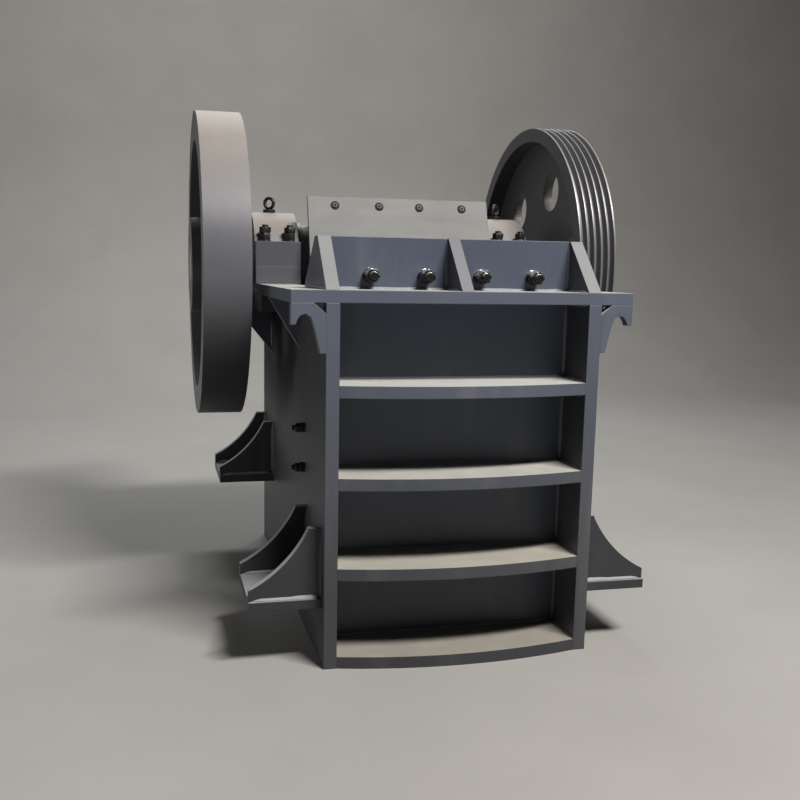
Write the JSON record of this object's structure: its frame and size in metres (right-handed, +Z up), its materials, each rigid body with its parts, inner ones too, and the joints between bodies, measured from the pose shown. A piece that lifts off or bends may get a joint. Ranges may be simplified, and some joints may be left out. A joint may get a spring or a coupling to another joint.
{
  "type": "jaw crusher",
  "caption": "Single-toggle jaw crusher: welded plate frame, ribbed jaw plates, eccentric shaft with flywheel and belt sheave, feed mouth on top, discharge below.",
  "frame": {"origin": "on the floor under the middle of the whole machine", "axes": "+Z up, +Y from the fixed jaw end to the toggle end, +X towards the belt sheave; the shaft lies along X"},
  "size_m": [1.322, 1.4589, 1.533],
  "materials": {
    "frame_paint": "semi-gloss",
    "jaw_steel": "rough",
    "bare_steel": "satin",
    "dark_steel": "satin"
  },
  "bodies": {
    "frame": {"side_plate_left": "frame_paint", "side_plate_right": "frame_paint", "front_wall": "frame_paint", "front_rib_1": "frame_paint", "front_rib_2": "frame_paint", "front_rib_3": "frame_paint", "front_rib_4": "frame_paint", "top_flange": "frame_paint", "gusset_left": "frame_paint", "gusset_middle": "frame_paint", "gusset_right": "frame_paint", "wing_brackets_front": "frame_paint", "wing_brackets_middle": "frame_paint", "wing_brackets_rear": "frame_paint", "foot_plates_front": "frame_paint", "foot_plates_rear": "frame_paint", "foot_gussets_front": "frame_paint", "foot_gussets_rear": "frame_paint", "rear_wall": "frame_paint", "rear_ribs": "frame_paint", "adjusting_block": "frame_paint", "bearing_base_left": "frame_paint", "bearing_base_right": "frame_paint", "bearing_cap_left": "frame_paint", "bearing_cap_right": "frame_paint", "fixed_jaw_plate": "jaw_steel", "cheek_plate_left": "jaw_steel", "cheek_plate_right": "jaw_steel", "toggle_plate": "jaw_steel", "adjusting_shims": "bare_steel", "lifting_eyes": "dark_steel"},
    "rotor": {"eccentric_shaft": "bare_steel", "flywheel": "frame_paint", "sheave": "frame_paint"},
    "jaw": {"swing_jaw": "frame_paint", "barrel_end_rings": "frame_paint", "swing_jaw_plate": "jaw_steel", "guard_plate": "frame_paint", "toggle_seat": "frame_paint", "tension_rod": "bare_steel", "tension_spring": "dark_steel"}
  },
  "joints": [
    {"name": "shaft_spin", "type": "hinge", "parent": "frame", "child": "rotor", "pos_m": [0, 0.2395, 1.043], "axis": [1, 0, 0], "continuous": true},
    {"name": "jaw_swing", "type": "hinge", "parent": "rotor", "child": "jaw", "pos_m": [0, 0.2395, 1.031], "axis": [1, 0, 0], "continuous": true}
  ],
  "couplings": [
    {"joint": "jaw_swing", "follows": "shaft_spin", "ratio": -1}
  ]
}
